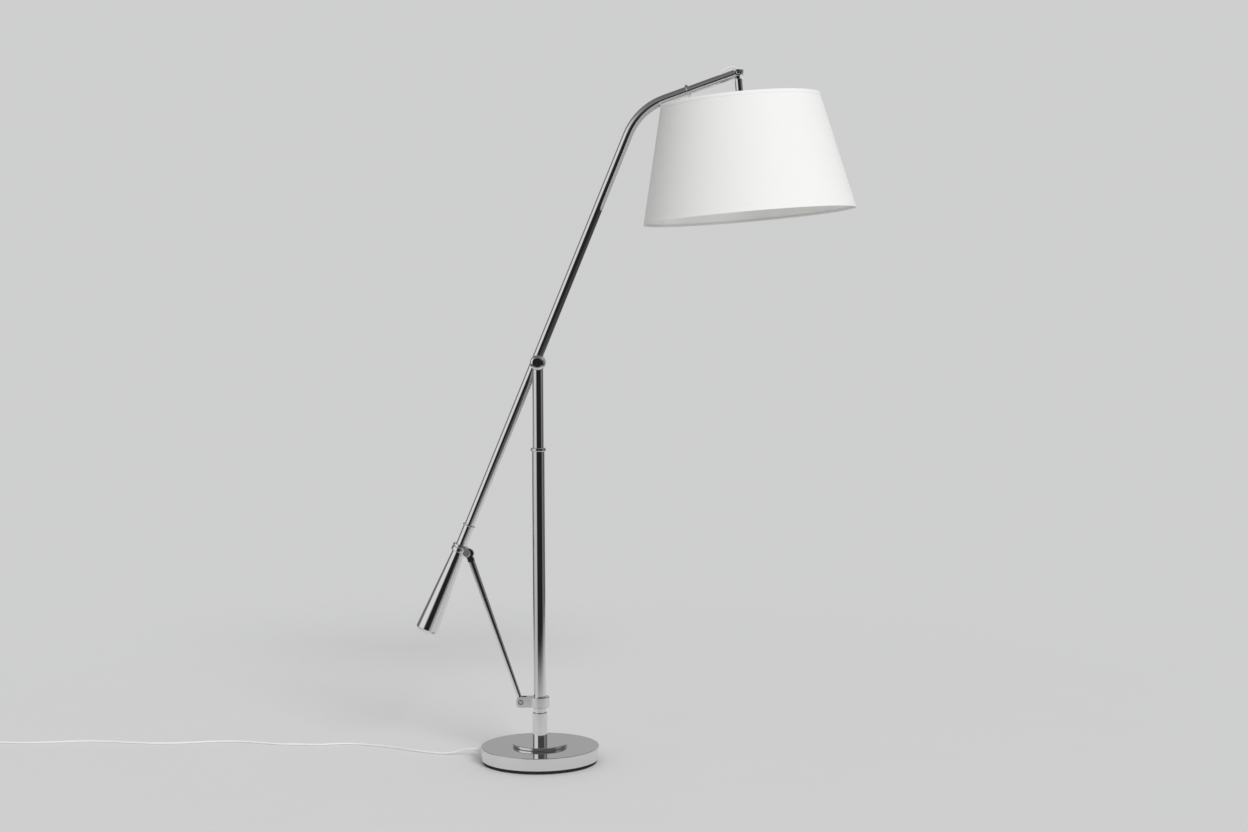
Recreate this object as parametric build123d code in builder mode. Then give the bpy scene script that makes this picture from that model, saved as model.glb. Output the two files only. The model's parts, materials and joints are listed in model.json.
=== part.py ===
"""Adjustable arm floor lamp: weighted base, telescoping column, counterweighted arm on a stay, drum shade.

Units are millimetres and degrees. +Z is up. The origin is the centre of the base on the floor.
The arm swings in a plane parallel to XZ, with the shade towards +X and the counterweight towards -X.
"""

import os
from math import asin, atan2, cos, degrees, hypot, pi, radians, sin, tan

from build123d import *

os.makedirs("parts", exist_ok=True)

# ---- base ----
FOOT_R = 149.0
FOOT_T = 9.5
BASE_R = 154.5
BASE_TOP = 41.5
SHELL_WALL = 1.5
SHELL_EDGE_R = 1.4
BALLAST_R = 152.0
PLATE_T = 2.0
DISC_R = 72.0
DISC_T = 8.0
NIPPLE_R = 6.5
NIPPLE_BORE_R = 4.5
NIPPLE_BOTTOM = 27.0
NIPPLE_TOP = 64.0
RECESS_R = 22.0
RECESS_TOP = 34.0
PLATE_SCREW_RING_R = 110.0

# ---- column ----
SOCKET_R = 19.25
SOCKET_TOP = 127.5
SOCKET_RING_TOP = 130.0
COLUMN_R = 16.2
COLUMN_BORE_R = 15.1
COLUMN_TOP = 821.0
COLUMN_RING_R = 19.8
COLUMN_RING_FROM = 815.0
COLUMN_RING_TO = 824.0
RISER_R = 14.2
RISER_BORE_R = 12.9
RISER_BOTTOM = 690.0

# ---- stay linkage, as points (x, z) ----
PIVOT_Z = 1046.0
CLEVIS_X = -49.5
CLEVIS_Z = 158.0
COLLAR_R = 25.6
COLLAR_BOTTOM = 144.0
COLLAR_TOP = 171.0
CLEVIS_REACH = 61.0
CLEVIS_HALF = 12.5
SLOT_HALF = 6.5
EYE_HALF = 6.0
PIN_R = 4.0
HEAD_R = 5.2
HEAD_SEAT_R = 6.7
HEAD_SEAT_DEPTH = 2.2
RUNNING_GAP = 0.05

# ---- arm ----
ARM_Y = 34.0
ARM_TILT = 22.46
ARM_OFFSET = 7.0
ARM_R = 12.7
ARM_BORE_R = 11.7
HUB_R = 19.4
CAP_FLAT_R = 11.0
CORNER_AT = 708.0
BEND_R = 160.0
UPPER_SLOPE = 19.6
RING_AT = 138.0
TIP_AT = 275.0
END_TUBE_R = 11.6
END_TUBE_BORE_R = 10.1
STAY_PIN_AT = 531.0
STAY_PIN_OFFSET = 22.0
STAY_FOOT_R = 6.2
STAY_TOP_R = 8.8

# ---- counterweight, as distances down the arm from the pivot ----
SLEEVE_FROM = 468.0
COLLAR_FROM = 521.0
WEIGHT_FROM = 540.0
WEIGHT_TO = 760.0
WEIGHT_TOP_R = 16.4
WEIGHT_END_R = 29.6
WEIGHT_WALL = 2.0

# ---- shade head, as distances down its own axis from the tilt pin ----
HEAD_TILT = 4.6
STEM_R = 9.7
STEM_FROM = 16.5
STEM_TO = 92.0
HOLDER_R = 20.0
HOLDER_TO = 146.0
SPIDER_AT = 100.0
SHADE_FROM = 71.2
SHADE_HEIGHT = 302.0
SHADE_TOP_R = 207.0
SHADE_BOTTOM_R = 277.5
SHADE_T = 1.6
WIRE_R = 1.6

# ---- flexes and cord ----
FLEX_R = 2.5
LOOP_R = 2.0
CORD_R = 2.75
CORD_EXIT_Z = 20.0
CORD_AZIMUTH = 163.0
RELIEF_END = 186.0
COIL_CENTRE = (-1575.0, 276.5)
COIL_OUTER_R = 38.6
COIL_INNER_R = 21.8
COIL_TOP = 10.6

UP = Vector(0, 0, 1)
BACK = Vector(0, 1, 0)
ALONG = Vector(sin(radians(ARM_TILT)), 0, cos(radians(ARM_TILT)))
ACROSS = Vector(cos(radians(ARM_TILT)), 0, -sin(radians(ARM_TILT)))
REACH = Vector(cos(radians(UPPER_SLOPE)), 0, sin(radians(UPPER_SLOPE)))
LEAD = Vector(cos(radians(CORD_AZIMUTH)), sin(radians(CORD_AZIMUTH)), 0)
HANG = Vector(sin(radians(HEAD_TILT)), 0, -cos(radians(HEAD_TILT)))

PIVOT = Vector(0, 0, PIVOT_Z)
ARM_ORIGIN = PIVOT - ACROSS * ARM_OFFSET + BACK * ARM_Y
CORNER = ARM_ORIGIN + ALONG * CORNER_AT
TILT_PIN = CORNER + REACH * TIP_AT
CLEVIS_PIN = Vector(CLEVIS_X, 0, CLEVIS_Z)
STAY_PIN = ARM_ORIGIN - ALONG * STAY_PIN_AT + ACROSS * STAY_PIN_OFFSET - BACK * ARM_Y


def save(builder, name):
    """Label a finished sub-part and write it to its own file."""
    builder.part.label = name
    export_step(builder.part, f"parts/{name}.step")


def radial(direction):
    """Any unit vector square to a direction."""
    side = BACK if abs(direction.Y) < 0.9 else UP
    return direction.cross(side).normalized()


def turned(origin, direction, outline):
    """Solid of revolution about a line: outline is (radius, height) points, the height along the line."""
    out = radial(direction)
    plane = Plane(origin=origin, x_dir=out, z_dir=out.cross(direction))
    with BuildPart() as piece:
        with BuildSketch(plane):
            with BuildLine():
                Polyline(*outline, close=True)
            make_face()
        revolve(axis=Axis(origin, direction))
    return piece


def tube(origin, direction, outer, bore, start, end):
    """Straight tube, ring or washer along a line, from one distance to another."""
    return turned(origin, direction, [(bore, start), (outer, start), (outer, end), (bore, end)])


def bar(origin, direction, radius, start, end):
    """Straight round bar along a line."""
    return tube(origin, direction, radius, 0, start, end)


def rounded_ring(origin, direction, outer, bore, start, end, edge):
    """Ring with both outer edges rounded."""
    out = radial(direction)
    plane = Plane(origin=origin, x_dir=out, z_dir=out.cross(direction))
    with BuildPart() as piece:
        with BuildSketch(plane):
            with BuildLine():
                Polyline((outer - edge, start), (bore, start), (bore, end), (outer - edge, end))
                RadiusArc((outer - edge, end), (outer, end - edge), edge)
                Line((outer, end - edge), (outer, start + edge))
                RadiusArc((outer, start + edge), (outer - edge, start), edge)
            make_face()
        revolve(axis=Axis(origin, direction))
    return piece


def swept(points, corner_radii, outer, bore=0):
    """Round tube or bar along straight runs joined by tangent arcs."""
    with BuildPart() as piece:
        with BuildLine() as path:
            FilletPolyline(*points, radius=corner_radii)
        with BuildSketch(Plane(origin=path.line @ 0, z_dir=path.line % 0)):
            Circle(outer)
            if bore:
                Circle(bore, mode=Mode.SUBTRACT)
        sweep()
    return piece


# ---------------------------------------------------------------- base

def make_base():
    save(bar(Vector(), UP, FOOT_R, 0, FOOT_T), "foot_pad")

    plate_top = FOOT_T + PLATE_T
    underside = Plane(origin=(0, 0, FOOT_T), x_dir=(1, 0, 0), z_dir=(0, 0, -1))
    with BuildPart() as bottom_plate:
        with BuildSketch(Plane.XY.offset(FOOT_T)):
            Circle(BALLAST_R)
        extrude(amount=PLATE_T)
        with Locations(underside):
            with PolarLocations(PLATE_SCREW_RING_R, 3):
                CounterSinkHole(radius=2.6, counter_sink_radius=4.5, depth=PLATE_T)
    save(bottom_plate, "bottom_plate")

    shell_inside = BASE_TOP - SHELL_WALL
    with BuildPart() as ballast:
        with BuildSketch(Plane.XY.offset(plate_top)):
            Circle(BALLAST_R)
        extrude(amount=shell_inside - plate_top)
        with BuildSketch(Plane.XY.offset(plate_top)):
            Circle(RECESS_R)
        extrude(amount=RECESS_TOP - plate_top, mode=Mode.SUBTRACT)
        with BuildSketch(Plane.XY.offset(plate_top)):
            Circle(NIPPLE_R + 0.1)
        extrude(amount=BASE_TOP, mode=Mode.SUBTRACT)
        with BuildSketch(Plane(origin=(0, 0, plate_top), x_dir=LEAD, z_dir=UP)):
            with Locations((BALLAST_R / 2 + 4, 0)):
                Rectangle(BALLAST_R + 8, 13)
        extrude(amount=17, mode=Mode.SUBTRACT)
        with BuildSketch(Plane.XY.offset(plate_top)):
            with PolarLocations(PLATE_SCREW_RING_R, 3):
                Circle(2.5)
        extrude(amount=14, mode=Mode.SUBTRACT)
    save(ballast, "ballast")

    lead_plane = Plane(origin=LEAD * (BASE_R + 5) + UP * CORD_EXIT_Z, z_dir=LEAD)
    with BuildPart() as base_shell:
        with BuildSketch(Plane.XY.offset(FOOT_T)):
            Circle(BASE_R)
        extrude(amount=BASE_TOP - FOOT_T)
        fillet(base_shell.faces().sort_by(Axis.Z)[-1].edges(), SHELL_EDGE_R)
        with BuildSketch(Plane.XY.offset(FOOT_T)):
            Circle(BASE_R - SHELL_WALL)
        extrude(amount=shell_inside - FOOT_T, mode=Mode.SUBTRACT)
        with BuildSketch(Plane.XY.offset(shell_inside)):
            Circle(NIPPLE_R + 0.1)
        extrude(amount=SHELL_WALL, mode=Mode.SUBTRACT)
        with BuildSketch(lead_plane):
            Circle(6.0)
        extrude(amount=-15, mode=Mode.SUBTRACT)
    save(base_shell, "base_shell")

    with BuildPart() as plate_screws:
        with PolarLocations(PLATE_SCREW_RING_R, 3):
            with Locations((0, 0, FOOT_T + 7.5)):
                Cylinder(2.4, 15)
            with Locations((0, 0, FOOT_T + 1.0)):
                Cone(4.4, 2.4, 2.0)
    save(plate_screws, "plate_screws")

    disc = rounded_ring(Vector(), UP, DISC_R, NIPPLE_R + 0.1, BASE_TOP, BASE_TOP + DISC_T, 2.6)
    save(disc, "centre_disc")

    save(tube(Vector(), UP, NIPPLE_R, NIPPLE_BORE_R, NIPPLE_BOTTOM, NIPPLE_TOP), "nipple")
    with BuildPart() as nipple_nut:
        with BuildSketch(Plane.XY.offset(NIPPLE_BOTTOM + 0.5)):
            RegularPolygon(radius=11, side_count=6, major_radius=False)
            Circle(NIPPLE_R, mode=Mode.SUBTRACT)
        extrude(amount=RECESS_TOP - NIPPLE_BOTTOM - 0.5)
        chamfer(nipple_nut.faces().sort_by(Axis.Z)[0].outer_wire().edges(), 0.6)
    save(nipple_nut, "nipple_nut")


# ---------------------------------------------------------------- column

def make_column():
    floor_z = BASE_TOP + DISC_T
    foot_outline = [
        (NIPPLE_R, floor_z),
        (COLUMN_R, floor_z),
        (COLUMN_R, floor_z + 3),
        (COLUMN_BORE_R - 0.05, floor_z + 3),
        (COLUMN_BORE_R - 0.05, floor_z + 24),
        (NIPPLE_R, floor_z + 24),
    ]
    save(turned(Vector(), UP, foot_outline), "column_foot")

    bore = COLUMN_R + 0.1
    save(tube(Vector(), UP, SOCKET_R, bore, floor_z, SOCKET_TOP), "socket_tube")
    ring_outline = [
        (bore, SOCKET_TOP),
        (SOCKET_R, SOCKET_TOP),
        (SOCKET_R, SOCKET_TOP + 0.8),
        (SOCKET_R - 1.6, SOCKET_RING_TOP),
        (bore, SOCKET_RING_TOP),
    ]
    save(turned(Vector(), UP, ring_outline), "socket_ring")

    save(tube(Vector(), UP, COLUMN_R, COLUMN_BORE_R, floor_z + 3, COLUMN_TOP), "column_tube")

    with BuildPart() as column_ring:
        ring = rounded_ring(
            Vector(), UP, COLUMN_RING_R, COLUMN_BORE_R, COLUMN_RING_FROM, COLUMN_RING_TO, 2.4
        )
        add(ring.part)
        with BuildSketch(Plane.XY.offset(COLUMN_RING_FROM - 2)):
            Circle(COLUMN_R)
        extrude(amount=COLUMN_TOP - COLUMN_RING_FROM + 2, mode=Mode.SUBTRACT)
    save(column_ring, "column_ring")


# ---------------------------------------------------------------- stay

def make_stay_collar():
    height = COLLAR_TOP - COLLAR_BOTTOM
    with BuildPart() as stay_collar:
        with BuildSketch(Plane.XY.offset(COLLAR_BOTTOM)):
            Circle(COLLAR_R)
        extrude(amount=height)
        fillet(stay_collar.edges().filter_by(GeomType.CIRCLE), 1.5)
        with BuildSketch(Plane.XZ.offset(-CLEVIS_HALF)):
            with Locations((-CLEVIS_REACH / 2, COLLAR_BOTTOM + height / 2)):
                RectangleRounded(CLEVIS_REACH, height, 9)
        extrude(amount=2 * CLEVIS_HALF)
        with BuildSketch(Plane.XZ.offset(-SLOT_HALF)):
            with Locations((CLEVIS_X, CLEVIS_Z)):
                Rectangle(30, height + 4)
        extrude(amount=2 * SLOT_HALF, mode=Mode.SUBTRACT)
        with BuildSketch(Plane.XZ.offset(-30)):
            with Locations((CLEVIS_X, CLEVIS_Z)):
                Circle(PIN_R)
        extrude(amount=60, mode=Mode.SUBTRACT)
        with BuildSketch(Plane.XZ.offset(CLEVIS_HALF - HEAD_SEAT_DEPTH)):
            with Locations((CLEVIS_X, CLEVIS_Z)):
                Circle(HEAD_SEAT_R)
        extrude(amount=HEAD_SEAT_DEPTH + 1, mode=Mode.SUBTRACT)
        with BuildSketch(Plane.XY.offset(COLLAR_BOTTOM)):
            Circle(COLUMN_R + 1.5)
        extrude(amount=height, mode=Mode.SUBTRACT)
    save(stay_collar, "stay_collar")

    bush = tube(Vector(), UP, COLUMN_R + 1.5, COLUMN_R + 0.08, COLLAR_BOTTOM, COLLAR_TOP)
    save(bush, "collar_bush")

    head_front = -CLEVIS_HALF - 0.3
    head_back = -CLEVIS_HALF + HEAD_SEAT_DEPTH
    pin_outline = [
        (0, head_front),
        (HEAD_R - 0.7, head_front),
        (HEAD_R, head_front + 0.7),
        (HEAD_R, head_back),
        (PIN_R, head_back),
        (PIN_R, CLEVIS_HALF + 5),
        (0, CLEVIS_HALF + 5),
    ]
    save(turned(CLEVIS_PIN, BACK, pin_outline), "clevis_pin")
    with BuildPart() as clevis_nut:
        with BuildSketch(Plane.XZ.offset(-CLEVIS_HALF - 4.5)):
            with Locations((CLEVIS_X, CLEVIS_Z)):
                RegularPolygon(radius=6.5, side_count=6, major_radius=False)
                Circle(PIN_R, mode=Mode.SUBTRACT)
        extrude(amount=4.5)
    save(clevis_nut, "clevis_nut")


def make_stay():
    to_top = STAY_PIN - CLEVIS_PIN
    rise = to_top.normalized()
    right = Vector(rise.Z, 0, -rise.X)
    knuckle = STAY_PIN + right * 5 - rise * 3
    rod_dir = (knuckle - CLEVIS_PIN).normalized()
    rod_end = (knuckle - CLEVIS_PIN).length - 22

    with BuildPart() as stay_lower_eye:
        add(bar(CLEVIS_PIN, BACK, 9, -EYE_HALF, EYE_HALF).part)
        add(bar(CLEVIS_PIN, rod_dir, STAY_FOOT_R - 0.4, 0, 16).part)
        add(bar(CLEVIS_PIN, BACK, PIN_R + RUNNING_GAP, -20, 20).part, mode=Mode.SUBTRACT)
    save(stay_lower_eye, "stay_lower_eye")

    rod_outline = [(0, 16), (STAY_FOOT_R, 16), (STAY_TOP_R, rod_end), (0, rod_end)]
    save(turned(CLEVIS_PIN, rod_dir, rod_outline), "stay_rod")

    with BuildPart() as stay_knuckle:
        add(rounded_ring(knuckle, BACK, 13.5, 0, -EYE_HALF, EYE_HALF, 1.2).part)
        neck_r = STAY_TOP_R + 0.8
        neck = [(0, rod_end), (neck_r, rod_end), (neck_r, rod_end + 10), (0, rod_end + 20)]
        add(turned(CLEVIS_PIN, rod_dir, neck).part)
        add(bar(STAY_PIN, BACK, PIN_R + RUNNING_GAP, -20, 20).part, mode=Mode.SUBTRACT)
        with BuildSketch(Plane(origin=knuckle - BACK * EYE_HALF, z_dir=-BACK)):
            Circle(30)
        extrude(amount=20, mode=Mode.SUBTRACT)
        with BuildSketch(Plane(origin=knuckle + BACK * EYE_HALF, z_dir=BACK)):
            Circle(30)
        extrude(amount=20, mode=Mode.SUBTRACT)
    save(stay_knuckle, "stay_knuckle")


# ---------------------------------------------------------------- pivot

def make_riser():
    riser_top = PIVOT_Z - 12
    save(tube(Vector(), UP, RISER_R, RISER_BORE_R, RISER_BOTTOM, riser_top), "riser_tube")
    save(bar(Vector(), UP, FLEX_R, RISER_BOTTOM + 5, riser_top - 8), "riser_flex")

    with BuildPart() as pivot_head:
        add(bar(PIVOT, BACK, HUB_R, -15, 15).part)
        add(bar(Vector(), UP, RISER_R, PIVOT_Z - 60, riser_top).part, mode=Mode.SUBTRACT)
        add(bar(PIVOT, BACK, PIN_R, -10, 20).part, mode=Mode.SUBTRACT)
    save(pivot_head, "pivot_head")

    front = Plane(origin=PIVOT, x_dir=(1, 0, 0), z_dir=(0, 0, 1))
    with BuildPart() as pivot_cap:
        with BuildSketch(front):
            with BuildLine():
                Polyline((CAP_FLAT_R, -25), (0, -25), (0, -15), (HUB_R, -15), (HUB_R, -17))
                ThreePointArc((HUB_R, -17), (17.0, -22.3), (CAP_FLAT_R, -25))
            make_face()
        revolve(axis=Axis(PIVOT, BACK))
    save(pivot_cap, "pivot_cap")

    save(bar(PIVOT, BACK, PIN_R, -10, 21), "pivot_stud")
    save(tube(PIVOT, BACK, HUB_R - 2, PIN_R, 15, 15.9), "pivot_washer")


# ---------------------------------------------------------------- arm

def make_arm():
    with BuildPart() as arm_hub:
        add(bar(PIVOT, BACK, HUB_R, 16, 52).part)
        add(bar(ARM_ORIGIN, ALONG, ARM_R, -40, 40).part, mode=Mode.SUBTRACT)
        add(bar(PIVOT, BACK, PIN_R + RUNNING_GAP, 10, 30).part, mode=Mode.SUBTRACT)
    save(arm_hub, "arm_hub")
    hub_cap_outline = [(0, 52), (HUB_R, 52), (HUB_R, 53.5), (HUB_R - 3, 56), (0, 57)]
    save(turned(PIVOT, BACK, hub_cap_outline), "hub_cap")

    lower_end = ARM_ORIGIN - ALONG * (WEIGHT_FROM - 9)
    upper_end = CORNER + REACH * RING_AT
    save(swept([lower_end, CORNER, upper_end], [BEND_R], ARM_R, ARM_BORE_R), "arm_tube")
    flex_path = [ARM_ORIGIN, CORNER, CORNER + REACH * 82]
    save(swept(flex_path, [BEND_R], FLEX_R), "arm_flex")

    with BuildPart() as arm_ring:
        add(rounded_ring(CORNER, REACH, 16.8, END_TUBE_R + 0.15, RING_AT - 5, RING_AT + 2.5, 2.2).part)
        add(bar(CORNER, REACH, ARM_R, RING_AT - 10, RING_AT).part, mode=Mode.SUBTRACT)
    save(arm_ring, "arm_ring")


def make_counterweight():
    down = -ALONG
    save(tube(ARM_ORIGIN, down, 14.15, ARM_R, SLEEVE_FROM, COLLAR_FROM), "weight_sleeve")
    save(rounded_ring(ARM_ORIGIN, down, 16.8, ARM_R, SLEEVE_FROM - 4.5, SLEEVE_FROM, 1.6), "sleeve_ring")

    lug_half = 12.0
    lug_plane = Plane(origin=ARM_ORIGIN - BACK * lug_half, x_dir=ACROSS, z_dir=BACK)
    with BuildPart() as weight_collar:
        with BuildSketch(lug_plane):
            with Locations((0, COLLAR_FROM + 9), (STAY_PIN_OFFSET, STAY_PIN_AT)):
                Circle(8.5)
            make_hull()
        extrude(amount=2 * lug_half)
        add(bar(STAY_PIN, BACK, 8.5, EYE_HALF + 0.8, ARM_Y + lug_half).part)
        add(rounded_ring(ARM_ORIGIN, down, 21.2, 0, COLLAR_FROM, COLLAR_FROM + 6.5, 1.4).part)
        add(bar(ARM_ORIGIN, down, 18.6, COLLAR_FROM + 5, COLLAR_FROM + 9).part)
        add(rounded_ring(ARM_ORIGIN, down, 21.2, 0, COLLAR_FROM + 8, WEIGHT_FROM, 1.4).part)
        add(bar(ARM_ORIGIN, down, ARM_R, COLLAR_FROM - 9, WEIGHT_FROM + 9).part, mode=Mode.SUBTRACT)
        add(bar(STAY_PIN, BACK, PIN_R, 0, 60).part, mode=Mode.SUBTRACT)
    save(weight_collar, "weight_collar")

    pin_outline = [
        (0, -EYE_HALF - 4.5),
        (1.6, -EYE_HALF - 3.2),
        (2.4, -EYE_HALF - 4.5),
        (8.6, -EYE_HALF - 4.5),
        (10.6, -EYE_HALF - 2.8),
        (10.6, -EYE_HALF - 0.5),
        (PIN_R, -EYE_HALF - 0.5),
        (PIN_R, ARM_Y + 10),
        (0, ARM_Y + 10),
    ]
    save(turned(STAY_PIN, BACK, pin_outline), "stay_pin")

    wall = WEIGHT_WALL
    shell_outline = [
        (0, WEIGHT_FROM),
        (WEIGHT_TOP_R, WEIGHT_FROM),
        (WEIGHT_END_R, WEIGHT_TO),
        (WEIGHT_END_R - wall, WEIGHT_TO),
        (WEIGHT_TOP_R - wall, WEIGHT_FROM + wall),
        (0, WEIGHT_FROM + wall),
    ]
    save(turned(ARM_ORIGIN, down, shell_outline), "weight_shell")
    core_outline = [
        (0, WEIGHT_FROM + wall),
        (WEIGHT_TOP_R - wall - 0.1, WEIGHT_FROM + wall),
        (WEIGHT_END_R - wall - 0.3, WEIGHT_TO - 3),
        (0, WEIGHT_TO - 3),
    ]
    save(turned(ARM_ORIGIN, down, core_outline), "weight_core")

    cap_plane = Plane(origin=ARM_ORIGIN, x_dir=ACROSS, z_dir=ACROSS.cross(down))
    with BuildPart() as weight_cap:
        with BuildSketch(cap_plane):
            with BuildLine():
                Polyline((WEIGHT_END_R, WEIGHT_TO), (0, WEIGHT_TO), (0, WEIGHT_TO + 9.5), (20, WEIGHT_TO + 9))
                ThreePointArc((20, WEIGHT_TO + 9), (26.2, WEIGHT_TO + 6), (WEIGHT_END_R, WEIGHT_TO))
            make_face()
        revolve(axis=Axis(ARM_ORIGIN, down))
    save(weight_cap, "weight_cap")


# ---------------------------------------------------------------- arm end

def make_arm_end():
    tube_from = 85.0
    tube_to = TIP_AT - 9.2
    save(tube(CORNER, REACH, END_TUBE_R, END_TUBE_BORE_R, tube_from, tube_to), "end_tube")

    ear_half = 11.0
    slot_half = 4.4
    with BuildPart() as end_knuckle:
        add(bar(CORNER, REACH, END_TUBE_BORE_R, TIP_AT - 24, TIP_AT - 7).part)
        add(bar(CORNER, REACH, END_TUBE_R, tube_to, TIP_AT - 7).part)
        add(rounded_ring(TILT_PIN, BACK, 9, 0, -ear_half, ear_half, 1.5).part)
        with BuildSketch(Plane.XY.offset(TILT_PIN.Z - 4)):
            with Locations((TILT_PIN.X + 7, TILT_PIN.Y)):
                Rectangle(6, 14)
        extrude(amount=12)
        add(bar(TILT_PIN, BACK, 8.1, -slot_half, slot_half).part, mode=Mode.SUBTRACT)
        with BuildSketch(Plane.XY.offset(TILT_PIN.Z - 30)):
            with Locations((TILT_PIN.X, TILT_PIN.Y)):
                Rectangle(16.2, 2 * slot_half)
        extrude(amount=30, mode=Mode.SUBTRACT)
        add(bar(TILT_PIN, BACK, 3, -20, 20).part, mode=Mode.SUBTRACT)
        add(bar(TILT_PIN + UP * 1.6, Vector(1, 0, 0), 2, 7, 20).part, mode=Mode.SUBTRACT)
    save(end_knuckle, "end_knuckle")

    pin_outline = [(0, -13.5), (3.6, -13.5), (5, -12.4), (5, -11), (3, -11), (3, 11), (5, 11)]
    pin_outline += [(5, 12.4), (3.6, 13.5), (0, 13.5)]
    save(turned(TILT_PIN, BACK, pin_outline), "tilt_pin")

    knob_outline = [(0, 8.3), (1.9, 8.3), (1.9, 11), (7.2, 11), (8, 11.8), (8, 13), (7.2, 13.8), (0, 14.2)]
    save(turned(TILT_PIN + UP * 1.6, Vector(1, 0, 0), knob_outline), "tilt_knob")

    start = CORNER + REACH * (TIP_AT - 54) + UP * (END_TUBE_R + 0.4)
    loop = [
        start,
        start + Vector(11, 0, 12),
        start + Vector(26, 0, 20),
        TILT_PIN + Vector(-10, 0, 15.5),
        TILT_PIN + Vector(-1, 0, 9.4),
    ]
    save(swept(loop, corner_radii(loop), LOOP_R), "flex_loop")


# ---------------------------------------------------------------- shade head

def make_head():
    with BuildPart() as stem_yoke:
        add(rounded_ring(TILT_PIN, BACK, 7.5, 0, -4, 4, 0.8).part)
        with BuildSketch(Plane(origin=TILT_PIN, x_dir=BACK, z_dir=HANG)):
            Rectangle(8, 8)
        extrude(amount=STEM_FROM)
        add(turned(TILT_PIN, HANG, [(0, STEM_FROM - 1), (8.5, STEM_FROM - 1), (STEM_R, STEM_FROM), (0, STEM_FROM)]).part)
        add(bar(TILT_PIN, HANG, STEM_R - 1.3, STEM_FROM, STEM_FROM + 12).part)
        add(bar(TILT_PIN, BACK, 3 + RUNNING_GAP, -10, 10).part, mode=Mode.SUBTRACT)
    save(stem_yoke, "stem_yoke")
    save(tube(TILT_PIN, HANG, STEM_R, STEM_R - 1.3, STEM_FROM, STEM_TO), "stem_tube")

    holder_outline = [
        (0, STEM_TO),
        (15, STEM_TO),
        (HOLDER_R, STEM_TO + 4),
        (HOLDER_R, SPIDER_AT + 20),
        (HOLDER_R - 2, HOLDER_TO),
        (13.6, HOLDER_TO),
        (13.6, SPIDER_AT + 18),
        (0, SPIDER_AT + 18),
    ]
    save(turned(TILT_PIN, HANG, holder_outline), "lampholder")
    nut_outline = [
        (HOLDER_R, SPIDER_AT + 2.5),
        (25, SPIDER_AT + 2.5),
        (26.5, SPIDER_AT + 4),
        (26.5, SPIDER_AT + 10),
        (25, SPIDER_AT + 11.5),
        (HOLDER_R, SPIDER_AT + 11.5),
    ]
    save(turned(TILT_PIN, HANG, nut_outline), "shade_ring_nut")

    wire_top = SHADE_FROM + WIRE_R + 0.5
    rim_r = shade_radius(wire_top) - SHADE_T - WIRE_R - 0.2
    top_plane = Plane(origin=TILT_PIN, x_dir=BACK, z_dir=HANG)
    with BuildPart() as shade_spider:
        add(tube(TILT_PIN, HANG, 29, HOLDER_R + 0.1, SPIDER_AT, SPIDER_AT + 2.5).part)
        for index in range(3):
            turn = 2 * pi * index / 3
            out = (top_plane.x_dir * cos(turn) + top_plane.y_dir * sin(turn)).normalized()
            inner = TILT_PIN + HANG * (SPIDER_AT + 1.25) + out * 28
            outer = TILT_PIN + HANG * wire_top + out * (rim_r - WIRE_R)
            spoke = outer - inner
            add(bar(inner, spoke.normalized(), 1.6, 0, spoke.length).part)
    save(shade_spider, "shade_spider")

    wire_bottom = SHADE_FROM + SHADE_HEIGHT - WIRE_R - 0.5
    low_r = shade_radius(wire_bottom) - SHADE_T - WIRE_R - 0.5
    with BuildPart() as shade_wires:
        for radius, at in ((rim_r, wire_top), (low_r, wire_bottom)):
            with BuildSketch(Plane(origin=TILT_PIN, x_dir=BACK, z_dir=BACK.cross(HANG))):
                with Locations((radius, at)):
                    Circle(WIRE_R)
            revolve(axis=Axis(TILT_PIN, HANG))
    save(shade_wires, "shade_wires")

    shade_to = SHADE_FROM + SHADE_HEIGHT
    shade_outline = [
        (SHADE_TOP_R - SHADE_T, SHADE_FROM),
        (SHADE_TOP_R, SHADE_FROM),
        (SHADE_BOTTOM_R, shade_to),
        (SHADE_BOTTOM_R - SHADE_T, shade_to),
    ]
    save(turned(TILT_PIN, HANG, shade_outline), "shade")

    cap_from = SPIDER_AT + 18.3
    base_outline = [(0, cap_from), (6, cap_from), (13.2, cap_from + 6), (13.2, HOLDER_TO), (0, HOLDER_TO)]
    save(turned(TILT_PIN, HANG, base_outline), "bulb_base")
    bulb_plane = Plane(origin=TILT_PIN, x_dir=BACK, z_dir=BACK.cross(HANG))
    with BuildPart() as bulb_glass:
        with BuildSketch(bulb_plane):
            with BuildLine():
                Line((0, HOLDER_TO + 78), (0, HOLDER_TO))
                Line((0, HOLDER_TO), (13.2, HOLDER_TO))
                Spline((13.2, HOLDER_TO), (17, HOLDER_TO + 14), (30, HOLDER_TO + 46), (0, HOLDER_TO + 78))
            make_face()
        revolve(axis=Axis(TILT_PIN, HANG))
    save(bulb_glass, "bulb_glass")

    key_at = TILT_PIN + HANG * (SPIDER_AT + 16)
    with BuildPart() as switch_key:
        add(bar(key_at, BACK, 2, HOLDER_R + 0.3, HOLDER_R + 10).part)
        add(rounded_ring(key_at, BACK, 8, 0, HOLDER_R + 8, HOLDER_R + 14, 1.2).part)
    save(switch_key, "switch_key")


def shade_radius(at):
    """Outer radius of the shade at a distance down its axis."""
    share = (at - SHADE_FROM) / SHADE_HEIGHT
    return SHADE_TOP_R + (SHADE_BOTTOM_R - SHADE_TOP_R) * share


# ---------------------------------------------------------------- mains cord

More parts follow.
